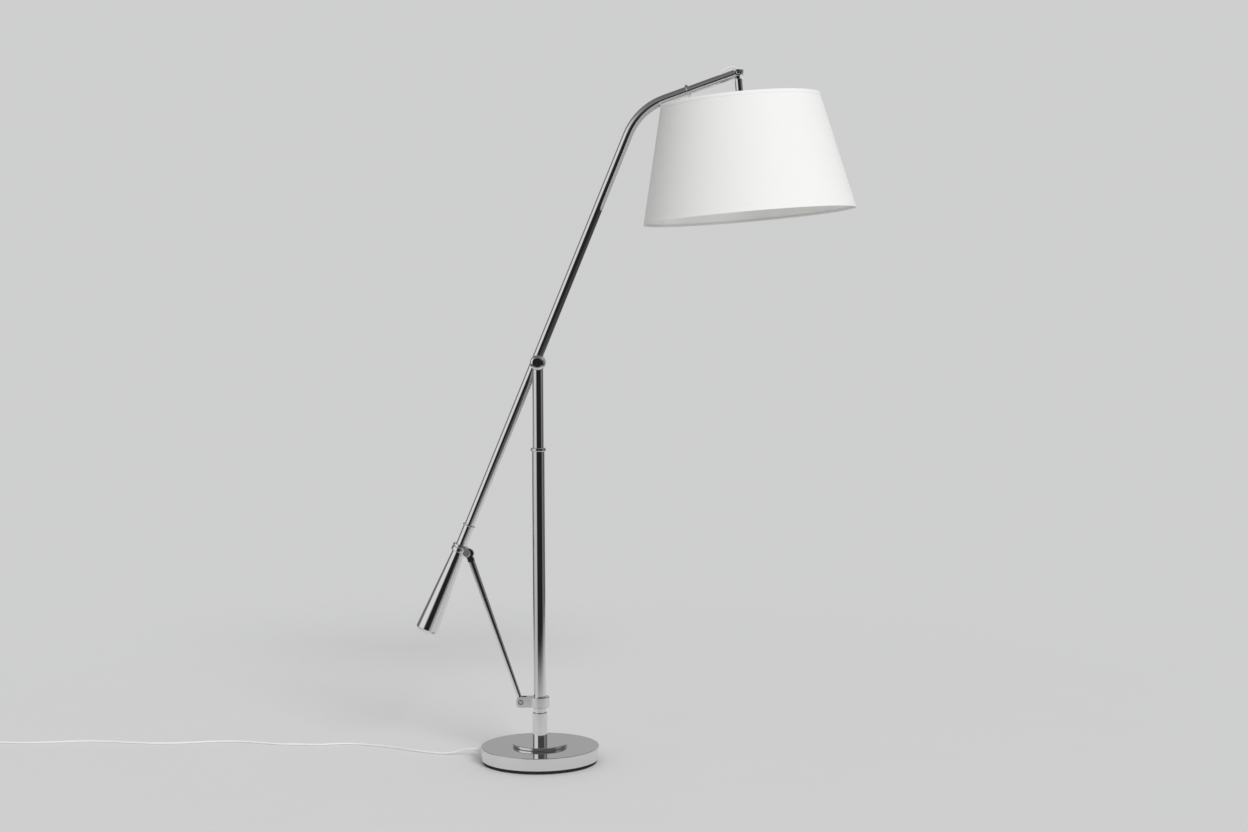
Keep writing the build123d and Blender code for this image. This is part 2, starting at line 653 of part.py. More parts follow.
CORD_Z = CORD_R + 0.05
CORD_ROUTE = [
    LEAD * RELIEF_END + UP * CORD_EXIT_Z,
    LEAD * 206 + UP * CORD_EXIT_Z,
    LEAD * 231 + UP * 11.5,
    LEAD * 263 + UP * CORD_Z,
    Vector(-300, 93, CORD_Z),
    Vector(-349, 120, CORD_Z),
    Vector(-396, 151, CORD_Z),
    Vector(-437, 173, CORD_Z),
    Vector(-481, 190, CORD_Z),
    Vector(-533, 203, CORD_Z),
    Vector(-576, 199, CORD_Z),
    Vector(-612, 188, CORD_Z),
    Vector(-662, 196, CORD_Z),
    Vector(-714, 197, CORD_Z),
    Vector(-776, 218, CORD_Z),
    Vector(-842, 236, CORD_Z),
    Vector(-912, 235, CORD_Z),
    Vector(-982, 219, CORD_Z),
    Vector(-1053, 213, CORD_Z),
    Vector(-1125, 224, CORD_Z),
    Vector(-1197, 242, CORD_Z),
    Vector(-1269, 249, CORD_Z),
    Vector(-1341, 236, CORD_Z),
    Vector(-1412, 227, CORD_Z),
    Vector(-1478, 232, CORD_Z),
    Vector(-1532, 242, CORD_Z),
    Vector(-1575, 241.5, CORD_Z),
]
TAIL_ROUTE = [
    Vector(-1608, 278, 7.8),
    Vector(-1605, 300, 7.5),
    Vector(-1605, 322, 7.5),
]


def corner_radii(points):
    """Radius of the tangent arc at each inner point: 0.45 of the shorter run over tan of half the turn."""
    radii = []
    for before, here, after in zip(points, points[1:], points[2:]):
        turn = radians((here - before).get_angle(after - here))
        shorter = min((here - before).length, (after - here).length)
        radii.append(0.45 * shorter / tan(turn / 2))
    return radii


def make_cord():
    relief_outline = [
        (0, 150),
        (5.95, 150),
        (5.95, BASE_R),
        (9, BASE_R),
        (9, BASE_R + 2),
        (6.5, BASE_R + 3.5),
        (4.0, RELIEF_END),
        (0, RELIEF_END),
    ]
    save(turned(UP * CORD_EXIT_Z, LEAD, relief_outline), "strain_relief")

    inner_path = [LEAD * 150 + UP * CORD_EXIT_Z, UP * CORD_EXIT_Z, UP * 555]
    save(swept(inner_path, [12], FLEX_R), "column_flex")

    radii = corner_radii(CORD_ROUTE)
    lead = swept(CORD_ROUTE, radii, CORD_R)
    save(lead, "cord_lead")
    print("cord corner radii, mm:", [round(radius) for radius in radii])
    tail = swept(TAIL_ROUTE, corner_radii(TAIL_ROUTE), CORD_R)
    save(tail, "cord_tail")
    for name, piece in (("cord_lead", lead), ("cord_tail", tail)):
        length = piece.part.volume / (pi * CORD_R**2)
        print(name, "length from volume, mm:", round(length, 1))

    centre = Vector(COIL_CENTRE[0], COIL_CENTRE[1], 0)
    coil = rounded_ring(centre, UP, COIL_OUTER_R, COIL_INNER_R, 0.05, COIL_TOP, CORD_R - 0.1)
    save(coil, "cord_coil")

    plug_back = TAIL_ROUTE[-1].Y
    with BuildPart() as plug_body:
        with BuildSketch(Plane.XZ.offset(-plug_back)):
            with Locations((TAIL_ROUTE[-1].X, TAIL_ROUTE[-1].Z)):
                Circle(4.2)
        with BuildSketch(Plane.XZ.offset(-plug_back - 24)):
            with Locations((TAIL_ROUTE[-1].X, TAIL_ROUTE[-1].Z)):
                RectangleRounded(24, 13, 5.5)
        with BuildSketch(Plane.XZ.offset(-plug_back - 42)):
            with Locations((TAIL_ROUTE[-1].X, TAIL_ROUTE[-1].Z)):
                RectangleRounded(32, 14.4, 6.5)
        loft()
    save(plug_body, "plug_body")
    with BuildPart() as plug_pins:
        for side in (-1, 1):
            pin = TAIL_ROUTE[-1] + Vector(side * 9.5, 42, 0)
            add(turned(pin, BACK, [(0, 0), (2, 0), (2, 17.5), (1.2, 19), (0, 19)]).part)
    save(plug_pins, "plug_pins")


def print_linkage():
    """Lengths, angles and coupling ratios of the stay linkage, for the joint table."""
    stay = STAY_PIN - CLEVIS_PIN
    lever = PIVOT - STAY_PIN
    stay_length = hypot(stay.X, stay.Z)
    lever_length = hypot(lever.X, lever.Z)
    ratio = stay.Z / lever.Z
    print("pivot", PIVOT, "stay pin", STAY_PIN, "clevis pin", CLEVIS_PIN, "tilt pin", TILT_PIN)
    print("stay", round(stay_length, 3), "lever", round(lever_length, 3), "rest ratio", round(ratio, 4))
    lever_tilt = degrees(atan2(lever.X, lever.Z))
    stay_tilt = degrees(atan2(-stay.X, stay.Z))
    for stay_turn in (-18, -9, 0, 4, 8):
        tilt = radians(stay_tilt - stay_turn)
        exact = degrees(asin((stay_length * sin(tilt) - CLEVIS_X) / lever_length)) - lever_tilt
        print("stay turn", stay_turn, "arm turn", round(exact, 3))


make_base()
make_column()
make_stay_collar()
make_stay()
make_riser()
make_arm()
make_counterweight()
make_arm_end()
make_head()
make_cord()
print_linkage()
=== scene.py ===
"""Looks of the adjustable arm floor lamp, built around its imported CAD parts.

Units are metres, in the row frame: +Z up the column, +X towards the shade, +Y towards the back.
"""

import json
import math

import bpy
from mathutils import Matrix, Vector


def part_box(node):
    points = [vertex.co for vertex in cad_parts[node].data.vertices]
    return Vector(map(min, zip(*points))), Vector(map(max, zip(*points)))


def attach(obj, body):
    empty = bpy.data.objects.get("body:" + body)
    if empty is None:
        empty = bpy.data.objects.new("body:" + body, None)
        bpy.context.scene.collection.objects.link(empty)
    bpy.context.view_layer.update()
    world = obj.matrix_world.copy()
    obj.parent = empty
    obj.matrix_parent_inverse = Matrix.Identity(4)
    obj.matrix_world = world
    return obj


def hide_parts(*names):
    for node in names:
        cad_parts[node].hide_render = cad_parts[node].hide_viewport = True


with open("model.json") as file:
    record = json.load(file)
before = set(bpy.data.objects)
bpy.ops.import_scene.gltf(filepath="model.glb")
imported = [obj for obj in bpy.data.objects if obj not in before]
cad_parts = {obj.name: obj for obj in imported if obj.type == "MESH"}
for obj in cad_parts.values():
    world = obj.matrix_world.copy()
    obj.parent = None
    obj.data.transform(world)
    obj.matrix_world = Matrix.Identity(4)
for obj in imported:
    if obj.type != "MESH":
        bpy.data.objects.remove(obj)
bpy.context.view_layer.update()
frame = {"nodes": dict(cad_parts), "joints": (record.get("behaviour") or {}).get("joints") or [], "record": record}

UP = Vector((0, 0, 1))
BACK = Vector((0, 1, 0))

# ---- camera ----
CAMERA_AT = (0.2237, -4.85, 1.145)
CAMERA_PITCH = 2.82
CAMERA_ROLL = -0.24
LENS_MM = 53.83
SENSOR_MM = 36

# ---- small details ----
HOLDER_SKIRT_R = 0.0198
HOLDER_TAPER = 0.077
HOLDER_RIB_FROM = 0.1225
HOLDER_RIB_PITCH = 0.0032
HOLDER_RIBS = 6
# One rib, as distances out from the skirt and along it.
HOLDER_RIB = ((0.0, 0.0), (0.0006, 0.0006), (0.0006, 0.0014), (0.0, 0.0020))
HOLDER_RIB_DEPTH = 0.0008
# The switch key's grip, from the joint outwards.
KEY_GRIP_FROM = 0.0295
KEY_GRIP_TO = 0.0325
KNOB_RIM_IN = 0.0018
# How far in from the clevis pin head's face the black ring of painted shadow sits.
CLEVIS_SHADOW_IN = 0.0006
DETAIL_STEPS = 72
# The two outermost points of a ring_outline.
RIM_POINTS = (2, 3)

# ---- materials ----
# Most of a noise texture's values lie between these.
NOISE_LOW = 0.3
NOISE_HIGH = 0.7
# About how many bands per metre a wave texture has at scale 1.
WAVE_BANDS = 3.14
WEAVE_PITCH = 0.0007
THREAD_STRETCH = 900
SLUB_STRETCH = 14

# ---- mains cord ----
CORD_DIAMETER = 0.0055
CORD_AZIMUTH = math.radians(163)
CORD_Z = 0.0028
COIL_CENTRE = (-1.575, 0.2765)
COIL_STEPS = 16
COIL_PITCH = 0.0056
COIL_OUTER_R = 0.0357
COIL_LOWER_STEPS = 3 * COIL_STEPS + COIL_STEPS // 2
COIL_LAST_STEP = 5 * COIL_STEPS + COIL_STEPS // 4
# A cord lying in the groove between two others sits at this angle to each.
COIL_NEST = math.radians(60)
COIL_TOP_START = 0.5
COIL_TOP_MARGIN = 0.4
CORD_BEVEL_STEPS = 4
CORD_CURVE_STEPS = 8


def joint(name):
    """The record's joint of that name."""
    return next(j for j in frame["joints"] if j["name"] == name)


# The shade hangs from its tilt pin along an axis that leans a little from the vertical.
TILT_PIN = Vector(joint("shade_tilt")["pos_m"])
KEY_AT = Vector(joint("switch_turn")["pos_m"])
HANG = (KEY_AT - TILT_PIN).normalized()


# ---------------------------------------------------------------- camera


def make_camera():
    data = bpy.data.cameras.new("camera")
    data.lens = LENS_MM
    data.sensor_width = SENSOR_MM
    camera = bpy.data.objects.new("camera", data)
    bpy.context.scene.collection.objects.link(camera)
    aim = Matrix.Rotation(math.radians(90 - CAMERA_PITCH), 4, "X")
    roll = Matrix.Rotation(math.radians(CAMERA_ROLL), 4, "Z")
    camera.matrix_world = Matrix.Translation(CAMERA_AT) @ aim @ roll
    bpy.context.scene.camera = camera


# ---------------------------------------------------------------- mesh helpers


def add_mesh(name, points, faces, body, smooth=True):
    """A mesh piece that rides on a body."""
    mesh = bpy.data.meshes.new(name)
    mesh.from_pydata([tuple(p) for p in points], [], faces)
    mesh.validate()
    mesh.update()
    mesh.polygons.foreach_set("use_smooth", [smooth] * len(mesh.polygons))
    piece = bpy.data.objects.new(name, mesh)
    bpy.context.scene.collection.objects.link(piece)
    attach(piece, body)
    return piece


def side_axes(axis):
    """Two unit vectors square to an axis and to each other."""
    first = axis.cross(BACK if abs(axis.y) < 0.9 else UP).normalized()
    return first, axis.cross(first).normalized()


def lathe(outline, origin, axis, steps, ripple=None):
    """Points and faces of a closed outline of (radius, height) turned about an axis.

    ripple(turn, index) is added to the radius of the outline's point of that index.
    """
    first, second = side_axes(axis)
    points = []
    for step in range(steps):
        turn = 2 * math.pi * step / steps
        out = first * math.cos(turn) + second * math.sin(turn)
        for index, (radius, height) in enumerate(outline):
            extra = ripple(turn, index) if ripple else 0.0
            points.append(origin + axis * height + out * (radius + extra))
    count = len(outline)
    faces = []
    for step in range(steps):
        here, there = step * count, (step + 1) % steps * count
        for index in range(count):
            after = (index + 1) % count
            faces.append((here + index, there + index, there + after, here + after))
    return points, faces


def sharpen(piece, degrees=35):
    """Keeps edges sharper than an angle crisp under smooth shading."""
    piece.data.set_sharp_from_angle(angle=math.radians(degrees))


# ---------------------------------------------------------------- materials


def new_material(name, color, roughness, metallic=0.0, **sockets):
    """A node material whose constants sit on the shader's own sockets."""
    material = bpy.data.materials.new(name)
    material.use_nodes = True
    shader = material.node_tree.nodes["Principled BSDF"]
    shader.inputs["Base Color"].default_value = (*color, 1)
    shader.inputs["Roughness"].default_value = roughness
    shader.inputs["Metallic"].default_value = metallic
    for socket, value in sockets.items():
        shader.inputs[socket.replace("_", " ")].default_value = value
    return material


def noise(material, scale, detail=3.0, stretch=(1, 1, 1)):
    """A noise texture in the object's own metres."""
    nodes, links = material.node_tree.nodes, material.node_tree.links
    place = nodes.new("ShaderNodeTexCoord")
    mapping = nodes.new("ShaderNodeMapping")
    mapping.inputs["Scale"].default_value = stretch
    texture = nodes.new("ShaderNodeTexNoise")
    texture.inputs["Scale"].default_value = scale
    texture.inputs["Detail"].default_value = detail
    links.new(place.outputs["Object"], mapping.inputs["Vector"])
    links.new(mapping.outputs["Vector"], texture.inputs["Vector"])
    return texture.outputs["Fac"]


def spread(material, value, low, high):
    """Maps a 0 to 1 value onto a range of numbers."""
    node = material.node_tree.nodes.new("ShaderNodeMapRange")
    node.inputs["From Min"].default_value = NOISE_LOW
    node.inputs["From Max"].default_value = NOISE_HIGH
    node.inputs["To Min"].default_value = low
    node.inputs["To Max"].default_value = high
    material.node_tree.links.new(value, node.inputs["Value"])
    return node.outputs["Result"]


def tint(material, value, dark, light):
    """Mixes two colours by a 0 to 1 value into the shader's base colour."""
    nodes, links = material.node_tree.nodes, material.node_tree.links
    ramp = nodes.new("ShaderNodeValToRGB")
    ramp.color_ramp.elements[0].position = NOISE_LOW
    ramp.color_ramp.elements[0].color = (*dark, 1)
    ramp.color_ramp.elements[1].position = NOISE_HIGH
    ramp.color_ramp.elements[1].color = (*light, 1)
    links.new(value, ramp.inputs["Fac"])
    links.new(ramp.outputs["Color"], nodes["Principled BSDF"].inputs["Base Color"])


def rough(material, value, low, high):
    """Varies the shader's roughness by a 0 to 1 value."""
    shader = material.node_tree.nodes["Principled BSDF"]
    material.node_tree.links.new(spread(material, value, low, high), shader.inputs["Roughness"])


def bump(material, value, strength, distance):
    """Raises the surface by a value."""
    nodes, links = material.node_tree.nodes, material.node_tree.links
    node = nodes.new("ShaderNodeBump")
    node.inputs["Strength"].default_value = strength
    node.inputs["Distance"].default_value = distance
    links.new(value, node.inputs["Height"])
    links.new(node.outputs["Normal"], nodes["Principled BSDF"].inputs["Normal"])


def chrome_material(name, wave_scale, wave_height):
    """Bright chrome plate: a mirror with faint smears and the slight waviness of polished metal."""
    material = new_material(name, color=(0.80, 0.80, 0.805), roughness=0.05, metallic=1.0)
    rough(material, noise(material, scale=14.0, detail=2.0), low=0.04, high=0.075)
    bump(material, noise(material, wave_scale, detail=0.0), strength=1.0, distance=wave_height)
    return material


def make_materials():
    made = {}
    made["chrome"] = chrome_material("chrome_tube", wave_scale=5.0, wave_height=0.00001)
    made["chrome_cast"] = chrome_material("chrome_cast", wave_scale=40.0, wave_height=0.000008)
    made["chrome_base"] = chrome_material("chrome_base", wave_scale=8.0, wave_height=0.00002)

    steel = new_material("zinc_steel", color=(0.52, 0.52, 0.53), roughness=0.32, metallic=1.0)
    tint(
        steel,
        noise(steel, scale=180.0, detail=6.0),
        dark=(0.44, 0.44, 0.45),
        light=(0.60, 0.60, 0.60),
    )
    rough(steel, noise(steel, scale=300.0, detail=4.0), low=0.25, high=0.45)
    made["steel"] = steel

    pin = new_material("satin_pin", color=(0.82, 0.82, 0.82), roughness=0.34, metallic=1.0)
    tint(
        pin, noise(pin, scale=400.0, detail=4.0), dark=(0.78, 0.78, 0.78), light=(0.85, 0.85, 0.85)
    )
    rough(pin, noise(pin, scale=600.0, detail=3.0), low=0.28, high=0.42)
    made["satin_pin"] = pin

    iron = new_material("cast_iron", color=(0.05, 0.05, 0.052), roughness=0.7, metallic=0.4)
    tint(
        iron,
        noise(iron, scale=90.0, detail=8.0),
        dark=(0.03, 0.03, 0.032),
        light=(0.08, 0.078, 0.075),
    )
    bump(iron, noise(iron, scale=700.0, detail=4.0), strength=0.5, distance=0.0004)
    made["iron"] = iron

    foot = new_material("foot_rubber", color=(0.012, 0.012, 0.012), roughness=0.75)
    tint(
        foot,
        noise(foot, scale=140.0, detail=5.0),
        dark=(0.009, 0.009, 0.009),
        light=(0.02, 0.02, 0.02),
    )
    bump(foot, noise(foot, scale=1500.0, detail=3.0), strength=0.4, distance=0.0002)
    made["foot"] = foot

    nylon = new_material("nylon", color=(0.74, 0.74, 0.72), roughness=0.4)
    rough(nylon, noise(nylon, scale=240.0), low=0.32, high=0.5)
    made["nylon"] = nylon

    black = new_material("black_plastic", color=(0.02, 0.02, 0.02), roughness=0.4)
    rough(black, noise(black, scale=300.0), low=0.32, high=0.5)
    bump(black, noise(black, scale=2500.0, detail=2.0), strength=0.3, distance=0.0001)
    made["black_plastic"] = black

    clear = new_material(
        "clear_flex", color=(0.84, 0.85, 0.84), roughness=0.3, Subsurface_Weight=0.2, IOR=1.45
    )
    rough(clear, noise(clear, scale=160.0), low=0.24, high=0.36)
    made["flex"] = clear

    cord = new_material("cord_pvc", color=(0.80, 0.80, 0.78), roughness=0.38)
    tint(cord, noise(cord, scale=30.0), dark=(0.77, 0.77, 0.745), light=(0.82, 0.82, 0.80))
    rough(cord, noise(cord, scale=500.0), low=0.33, high=0.48)
    made["cord"] = cord

    brass = new_material("brass", color=(0.70, 0.52, 0.25), roughness=0.2, metallic=1.0)
    rough(brass, noise(brass, scale=260.0, detail=5.0), low=0.14, high=0.32)
    made["brass"] = brass

    opal = new_material(
        "opal_glass", color=(0.88, 0.88, 0.86), roughness=0.12, Subsurface_Weight=0.2, IOR=1.5
    )
    tint(opal, noise(opal, scale=40.0), dark=(0.86, 0.86, 0.84), light=(0.90, 0.90, 0.88))
    made["opal_glass"] = opal

    wire = new_material("white_enamel", color=(0.78, 0.78, 0.77), roughness=0.3)
    rough(wire, noise(wire, scale=400.0), low=0.25, high=0.42)
    made["wire"] = wire

    made["shade_fabric"] = linen_material("shade_linen", light=0.88)
    made["shade_liner"] = liner_material()
    return made


def weave_height(material, pitch):
    """Height of a plain weave of two sets of threads, from the piece's UV map in metres."""
    nodes, links = material.node_tree.nodes, material.node_tree.links
    place = nodes.new("ShaderNodeUVMap")
    place.uv_map = "cloth"
    threads = []
    for direction in ("X", "Y"):
        wave = nodes.new("ShaderNodeTexWave")
        wave.bands_direction = direction
        wave.inputs["Scale"].default_value = 1 / pitch / WAVE_BANDS
        wave.inputs["Distortion"].default_value = 0.6
        links.new(place.outputs["UV"], wave.inputs["Vector"])
        threads.append(wave.outputs["Fac"])
    both = nodes.new("ShaderNodeMath")
    both.operation = "ADD"
    links.new(threads[0], both.inputs[0])
    links.new(threads[1], both.inputs[1])
    return both.outputs["Value"]


def slubs(material, stretch, scale):
    """Uneven thick and thin threads: noise drawn out along one way of the cloth."""
    nodes, links = material.node_tree.nodes, material.node_tree.links
    place = nodes.new("ShaderNodeUVMap")
    place.uv_map = "cloth"
    mapping = nodes.new("ShaderNodeMapping")
    mapping.inputs["Scale"].default_value = stretch
    texture = nodes.new("ShaderNodeTexNoise")
    texture.inputs["Scale"].default_value = scale
    texture.inputs["Detail"].default_value = 3.0
    links.new(place.outputs["UV"], mapping.inputs["Vector"])
    links.new(mapping.outputs["Vector"], texture.inputs["Vector"])
    return texture.outputs["Fac"]


def linen_material(name, light):
    """Off-white woven cloth with fine threads and faint slubs both ways."""
    material = new_material(name, (light, light, light), roughness=0.92, Sheen_Weight=0.15)
    nodes, links = material.node_tree.nodes, material.node_tree.links
    across = slubs(material, stretch=(SLUB_STRETCH, THREAD_STRETCH, 1), scale=1.0)
    down = slubs(material, stretch=(THREAD_STRETCH, SLUB_STRETCH, 1), scale=1.0)
    both = nodes.new("ShaderNodeMath")
    both.operation = "MULTIPLY_ADD"
    both.inputs[1].default_value = 0.5
    half = nodes.new("ShaderNodeMath")
    half.operation = "MULTIPLY"
    half.inputs[1].default_value = 0.5
    links.new(across, both.inputs[0])
    links.new(down, half.inputs[0])
    links.new(half.outputs["Value"], both.inputs[2])
    slub = both.outputs["Value"]
    tint(
        material,
        slub,
        dark=(light * 0.965, light * 0.96, light * 0.945),
        light=(light, light, light * 0.99),
    )
    bump(material, weave_height(material, WEAVE_PITCH), strength=0.35, distance=0.0002)
    return material


def liner_material():
    """White styrene on the shade's inside, with a soft moulded grain."""
    material = new_material("shade_liner", color=(0.90, 0.90, 0.885), roughness=0.55)
    tint(material, noise(material, scale=25.0), dark=(0.88, 0.88, 0.86), light=(0.92, 0.92, 0.90))
    bump(material, noise(material, scale=900.0, detail=2.0), strength=0.2, distance=0.0001)
    return material


MATERIALS = make_materials()

CAST_NODES = {
    "stay_collar", "stay_lower_eye", "stay_knuckle", "pivot_head", "pivot_cap",
    "arm_hub", "hub_cap", "weight_collar", "weight_cap", "end_knuckle", "tilt_pin",
    "tilt_knob", "stem_yoke", "column_ring", "arm_ring", "sleeve_ring",
}
BASE_NODES = {"base_shell", "centre_disc"}
PIN_NODES = {"clevis_pin", "stay_pin"}


def finish_cad_nodes():
    """Gives every carried-over CAD node its procedural material."""
    slots = {s["node"]: s["material_slot"] for s in frame["record"]["subparts"]}
    for name, node in frame["nodes"].items():
        key = slots[name]
        if name in CAST_NODES:
            key = "chrome_cast"
        if name in BASE_NODES:
            key = "chrome_base"
        if name in PIN_NODES:
            key = "satin_pin"
        for place in node.material_slots:
            place.material = MATERIALS[key]


# ---------------------------------------------------------------- mains cord


def lead(out, height):
    """A point straight out of the base along the cord's exit."""
    return Vector((math.cos(CORD_AZIMUTH) * out, math.sin(CORD_AZIMUTH) * out, height))


CORD_ROUTE = [
    lead(0.186, 0.020),
    lead(0.206, 0.020),
    lead(0.231, 0.0115),
    lead(0.263, CORD_Z),
    Vector((-0.300, 0.093, CORD_Z)),
    Vector((-0.349, 0.120, CORD_Z)),
    Vector((-0.396, 0.151, CORD_Z)),
    Vector((-0.437, 0.173, CORD_Z)),
    Vector((-0.481, 0.190, CORD_Z)),
    Vector((-0.533, 0.203, CORD_Z)),
    Vector((-0.576, 0.199, CORD_Z)),
    Vector((-0.612, 0.188, CORD_Z)),
    Vector((-0.662, 0.196, CORD_Z)),
    Vector((-0.714, 0.197, CORD_Z)),
    Vector((-0.776, 0.218, CORD_Z)),
    Vector((-0.842, 0.236, CORD_Z)),
    Vector((-0.912, 0.235, CORD_Z)),
    Vector((-0.982, 0.219, CORD_Z)),
    Vector((-1.053, 0.213, CORD_Z)),
    Vector((-1.125, 0.224, CORD_Z)),
    Vector((-1.197, 0.242, CORD_Z)),
    Vector((-1.269, 0.249, CORD_Z)),
    Vector((-1.341, 0.236, CORD_Z)),
    Vector((-1.412, 0.227, CORD_Z)),
    Vector((-1.478, 0.232, CORD_Z)),
    Vector((-1.532, 0.242, CORD_Z)),
]
CORD_TAIL = [
    Vector((-1.6075, 0.2980, 0.0079)),
    Vector((-1.6050, 0.3100, 0.0076)),
    Vector((-1.6040, 0.3220, 0.0075)),
]


def coil_turns():
    """Three and a half turns on the floor, going in, then one and three quarters on top, going out."""
    inner_r = COIL_OUTER_R - 2 * COIL_PITCH
    top_r = COIL_OUTER_R - COIL_TOP_MARGIN * COIL_PITCH
    upper_z = CORD_Z + COIL_PITCH * math.sin(COIL_NEST)
    points = []
    for step in range(COIL_LOWER_STEPS):
        done = step / COIL_STEPS
        points.append((max(COIL_OUTER_R - COIL_PITCH * done, inner_r), CORD_Z, step))
    for step in range(COIL_LOWER_STEPS, COIL_LAST_STEP + 1):
        done = (step - COIL_LOWER_STEPS) / COIL_STEPS
        radius = min(inner_r + COIL_PITCH * (COIL_TOP_START + done), top_r)
        points.append((radius, upper_z, step))
    swell = 1 / math.cos(math.pi / COIL_STEPS)
    for radius, height, step in points:
        turn = -math.pi / 2 - 2 * math.pi * step / COIL_STEPS
        across = radius * swell * math.cos(turn)
        along = radius * swell * math.sin(turn)
        yield Vector((COIL_CENTRE[0] + across, COIL_CENTRE[1] + along, height))


def make_cord():
    route = [*CORD_ROUTE, *coil_turns(), *CORD_TAIL]
    data = bpy.data.curves.new("mains_cord", "CURVE")
    data.dimensions = "3D"
    data.bevel_depth = CORD_DIAMETER / 2
    data.bevel_resolution = CORD_BEVEL_STEPS
    data.resolution_u = CORD_CURVE_STEPS
    spline = data.splines.new("NURBS")
    spline.points.add(len(route) - 1)
    for point, place in zip(spline.points, route):
        point.co = (*place, 1)
    spline.order_u = 3
    spline.use_endpoint_u = True
    piece = bpy.data.objects.new("mains_cord", data)
    bpy.context.scene.collection.objects.link(piece)
    data.materials.append(MATERIALS["cord"])
    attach(piece, "base")
    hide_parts("cord_lead", "cord_coil", "cord_tail")


# ---------------------------------------------------------------- shade

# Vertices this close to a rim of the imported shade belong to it.
RIM_BAND = 0.001


def measure_shade():
    """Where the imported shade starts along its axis, its height, and its two outer radii."""
    node = frame["nodes"]["shade"]
    spots = []
    for vertex in node.data.vertices:
        arm = node.matrix_world @ vertex.co - TILT_PIN
        height = arm.dot(HANG)
        spots.append((height, (arm - HANG * height).length))
    top, bottom = min(spots)[0], max(spots)[0]
    top_r = max(radius for height, radius in spots if height < top + RIM_BAND)
    bottom_r = max(radius for height, radius in spots if height > bottom - RIM_BAND)
    return top, bottom - top, top_r, bottom_r


SHADE_FROM, SHADE_HEIGHT, SHADE_TOP_R, SHADE_BOTTOM_R = measure_shade()
SHADE_STEPS = 288
HEM_TALL = 0.009
HEM_PROUD = 0.0005
CLOTH_T = 0.0006
CLOTH_EDGE = 0.0004
CLOTH_ROWS = 24
LINER_T = 0.0008
LINER_GAP = 0.0001
LINER_SHARES = (0.004, 0.996)
HEM_RIM = 0.0003
# The hem's section over one rim, as distances out from the cloth's face and along the shade.
HEM_SECTION = (
    (0.0001, -HEM_TALL),
    (HEM_PROUD, -HEM_TALL + 0.0004),
    (HEM_PROUD, -0.0006),
    (HEM_PROUD - 0.0004, 0.0),
    (-0.0015, 0.0),
    (-0.0020, -0.0006),
    (-0.0020, -HEM_TALL + 0.0004),
    (-0.0015, -HEM_TALL),
)
SEAM_ROWS = 40
SEAM_COLUMNS = 6
SEAM_W = 0.012
SEAM_RAISED = 0.0005
SEAM_EDGE = 0.00005
SEAM_SUNK = 0.0002
SEAM_FROM = 0.02
SEAM_SPAN = 0.96


def shade_r(share):
    return SHADE_TOP_R + (SHADE_BOTTOM_R - SHADE_TOP_R) * share


def add_cloth_map(piece, origin, axis):
    """A UV map in metres: round the shade, and down it."""
    mesh = piece.data
    first, second = side_axes(axis)
    layer = mesh.uv_layers.new(name="cloth")
    for polygon in mesh.polygons:
        middle = polygon.center - origin
        centre_turn = math.atan2(middle.dot(second), middle.dot(first))
        for corner in polygon.loop_indices:
            point = mesh.vertices[mesh.loops[corner].vertex_index].co - origin
            turn = math.atan2(point.dot(second), point.dot(first))
            turn -= 2 * math.pi * round((turn - centre_turn) / (2 * math.pi))
            layer.data[corner].uv = (turn * SHADE_BOTTOM_R, point.dot(axis))


def make_shade():
    """The shade's cloth in place of the imported shade, with its flat size and area."""
    outer, inner = [], []
    for row in range(CLOTH_ROWS + 1):
        share = row / CLOTH_ROWS
        at = SHADE_FROM + SHADE_HEIGHT * share
        from_edge = min(at - SHADE_FROM, SHADE_FROM + SHADE_HEIGHT - at)
        outer.append((shade_r(share) - (CLOTH_EDGE if from_edge == 0 else 0), at))
        inner.append((shade_r(share) - CLOTH_T, at))
    cloth = [*outer, *reversed(inner)]
    points, faces = lathe(cloth, TILT_PIN, HANG, SHADE_STEPS)
    piece = add_mesh("shade_cloth", points, faces, "shade_head")
    sharpen(piece)
    add_cloth_map(piece, TILT_PIN, HANG)
    piece.data.materials.append(MATERIALS["shade_fabric"])
    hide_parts("shade")
    slant = math.hypot(SHADE_HEIGHT, SHADE_BOTTOM_R - SHADE_TOP_R)
    cone = slant / (SHADE_BOTTOM_R - SHADE_TOP_R)
    half_fan = math.pi / cone
    width = 2 * SHADE_BOTTOM_R * cone * math.sin(half_fan)
    tall = SHADE_BOTTOM_R * cone - SHADE_TOP_R * cone * math.cos(half_fan)
    area = math.pi * (SHADE_TOP_R + SHADE_BOTTOM_R) * slant
    return piece, (width, tall), area


def make_liner():
    """The styrene sheet behind the cloth, a little short of both rims."""
    liner_outer, liner_inner = [], []
    for share in LINER_SHARES:
        at = SHADE_FROM + SHADE_HEIGHT * share
        liner_outer.append((shade_r(share) - CLOTH_T - LINER_GAP, at))
        liner_inner.append((shade_r(share) - CLOTH_T - LINER_T, at))
    points, faces = lathe([*liner_outer, *reversed(liner_inner)], TILT_PIN, HANG, SHADE_STEPS)
    piece = add_mesh("shade_liner", points, faces, "shade_head")
    sharpen(piece)
    piece.data.materials.append(MATERIALS["shade_liner"])
    return piece


def make_hem(name, share, sign):
    """A strip of the same cloth folded over one rim, inside and out."""
    at = SHADE_FROM + SHADE_HEIGHT * share
    slope = (SHADE_BOTTOM_R - SHADE_TOP_R) / SHADE_HEIGHT
    rim = at + sign * HEM_RIM
    radius = shade_r(share)
    outline = []
    for out, along in HEM_SECTION:
        height = rim + sign * along
        outline.append((radius + out + slope * (height - at), height))
    points, faces = lathe(outline, TILT_PIN, HANG, SHADE_STEPS)
    piece = add_mesh(name, points, faces, "shade_head")
    sharpen(piece)
    add_cloth_map(piece, TILT_PIN, HANG)
    piece.data.materials.append(MATERIALS["shade_fabric"])
    return piece


